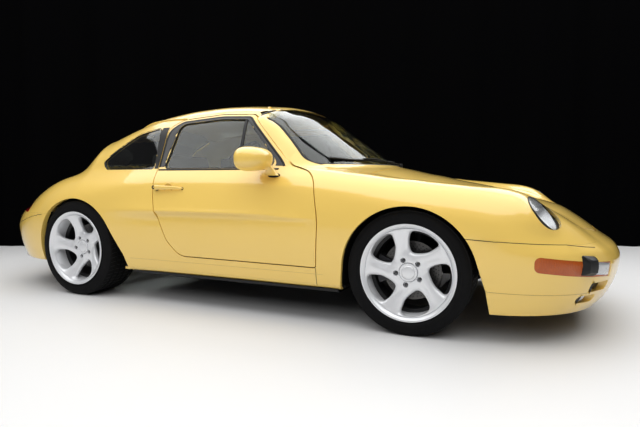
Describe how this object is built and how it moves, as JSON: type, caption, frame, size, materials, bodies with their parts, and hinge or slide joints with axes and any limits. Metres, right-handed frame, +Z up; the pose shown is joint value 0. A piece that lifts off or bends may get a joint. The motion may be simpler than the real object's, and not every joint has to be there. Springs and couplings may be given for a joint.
{
  "type": "rear-engined two-door coupe car",
  "caption": "Rear-engined two-door coupe with opening doors and lids, steered front wheels and free-rolling wheels; hollow cabin and front luggage tub.",
  "frame": {"origin": "on the ground under the middle of the car's length and width", "axes": "+X towards the nose, +Y to the car's left, +Z up"},
  "size_m": [4.2416, 2.0074, 1.2899],
  "materials": {
    "body_paint": "gloss pale yellow",
    "window_glass": "clear, faint green",
    "lamp_glass": "clear",
    "amber_lens": "gloss",
    "red_lens": "gloss",
    "black_plastic": "matt",
    "seat_leather": "satin",
    "underbody": "matt sealed",
    "dark_steel": "satin black",
    "cast_alloy": "as cast",
    "exhaust_steel": "satin",
    "wheel_alloy": "silver lacquer",
    "tyre_rubber": "matt",
    "disc_iron": "machined"
  },
  "bodies": {
    "shell": {"side_frame_left": "body_paint", "side_frame_right": "body_paint", "roof_panel": "body_paint", "cowl_panel": "body_paint", "front_wing_left": "body_paint", "front_wing_right": "body_paint", "front_bumper": "body_paint", "rear_bumper": "body_paint", "rear_panel": "body_paint", "headlamps": "lamp_glass", "front_turn_lamps": "amber_lens", "bumper_grille": "black_plastic", "tail_lamps": "red_lens", "windscreen": "window_glass", "rear_window": "window_glass", "quarter_windows": "window_glass", "floor_pan": "underbody", "engine_block": "cast_alloy", "exhaust": "exhaust_steel", "front_suspension": "dark_steel", "rear_suspension": "dark_steel", "seats_front": "seat_leather", "seats_rear": "seat_leather", "dashboard": "black_plastic"},
    "door_left": {"door_left": "body_paint", "door_glass_left": "window_glass", "mirror_left": "body_paint"},
    "door_right": {"door_right": "body_paint", "door_glass_right": "window_glass", "mirror_right": "body_paint"},
    "front_lid": {"front_lid": "body_paint"},
    "engine_lid": {"engine_lid": "body_paint", "lid_grille": "black_plastic"},
    "steering_wheel": {"steering_wheel": "seat_leather"},
    "knuckle_left": {"knuckle_front_left": "dark_steel"},
    "knuckle_right": {"knuckle_front_right": "dark_steel"},
    "wheel_front_left": {"rim_front_left": "wheel_alloy", "tyre_front_left": "tyre_rubber", "brake_disc_front_left": "disc_iron"},
    "wheel_front_right": {"rim_front_right": "wheel_alloy", "tyre_front_right": "tyre_rubber", "brake_disc_front_right": "disc_iron"},
    "wheel_rear_left": {"rim_rear_left": "wheel_alloy", "tyre_rear_left": "tyre_rubber", "brake_disc_rear_left": "disc_iron"},
    "wheel_rear_right": {"rim_rear_right": "wheel_alloy", "tyre_rear_right": "tyre_rubber", "brake_disc_rear_right": "disc_iron"}
  },
  "joints": [
    {"name": "door_left_hinge", "type": "hinge", "parent": "shell", "child": "door_left", "pos_m": [0.6347, 0.833, 0.56], "axis": [0, 0, -1], "range_deg": [0, 66]},
    {"name": "door_right_hinge", "type": "hinge", "parent": "shell", "child": "door_right", "pos_m": [0.6347, -0.833, 0.56], "axis": [0, 0, 1], "range_deg": [0, 66]},
    {"name": "front_lid_hinge", "type": "hinge", "parent": "shell", "child": "front_lid", "pos_m": [0.87032, 0, 0.843], "axis": [0, -1, 0], "range_deg": [0, 60]},
    {"name": "engine_lid_hinge", "type": "hinge", "parent": "shell", "child": "engine_lid", "pos_m": [-1.4596, 0, 0.886], "axis": [0, 1, 0], "range_deg": [0, 65]},
    {"name": "steer_left", "type": "hinge", "parent": "shell", "child": "knuckle_left", "pos_m": [1.1375, 0.65, 0.192], "axis": [0, -0.2179, 0.976], "range_deg": [-35, 35]},
    {"name": "steer_right", "type": "hinge", "parent": "shell", "child": "knuckle_right", "pos_m": [1.1375, -0.65, 0.192], "axis": [0, 0.2179, 0.976], "range_deg": [-35, 35]},
    {"name": "steering_wheel_turn", "type": "hinge", "parent": "shell", "child": "steering_wheel", "pos_m": [0.2287, 0.3817, 0.74175], "axis": [-0.9135, 0, 0.4067], "range_deg": [-560, 560]},
    {"name": "wheel_front_left_spin", "type": "hinge", "parent": "knuckle_left", "child": "wheel_front_left", "pos_m": [1.1375, 0.7025, 0.318], "axis": [0, 1, 0], "continuous": true},
    {"name": "wheel_front_right_spin", "type": "hinge", "parent": "knuckle_right", "child": "wheel_front_right", "pos_m": [1.1375, -0.7025, 0.318], "axis": [0, 1, 0], "continuous": true},
    {"name": "wheel_rear_left_spin", "type": "hinge", "parent": "shell", "child": "wheel_rear_left", "pos_m": [-1.1345, 0.722, 0.32], "axis": [0, 1, 0], "continuous": true},
    {"name": "wheel_rear_right_spin", "type": "hinge", "parent": "shell", "child": "wheel_rear_right", "pos_m": [-1.1345, -0.722, 0.32], "axis": [0, 1, 0], "continuous": true}
  ],
  "couplings": [
    {"joint": "steer_right", "follows": "steer_left", "ratio": 1},
    {"joint": "steering_wheel_turn", "follows": "steer_left", "ratio": 16}
  ]
}
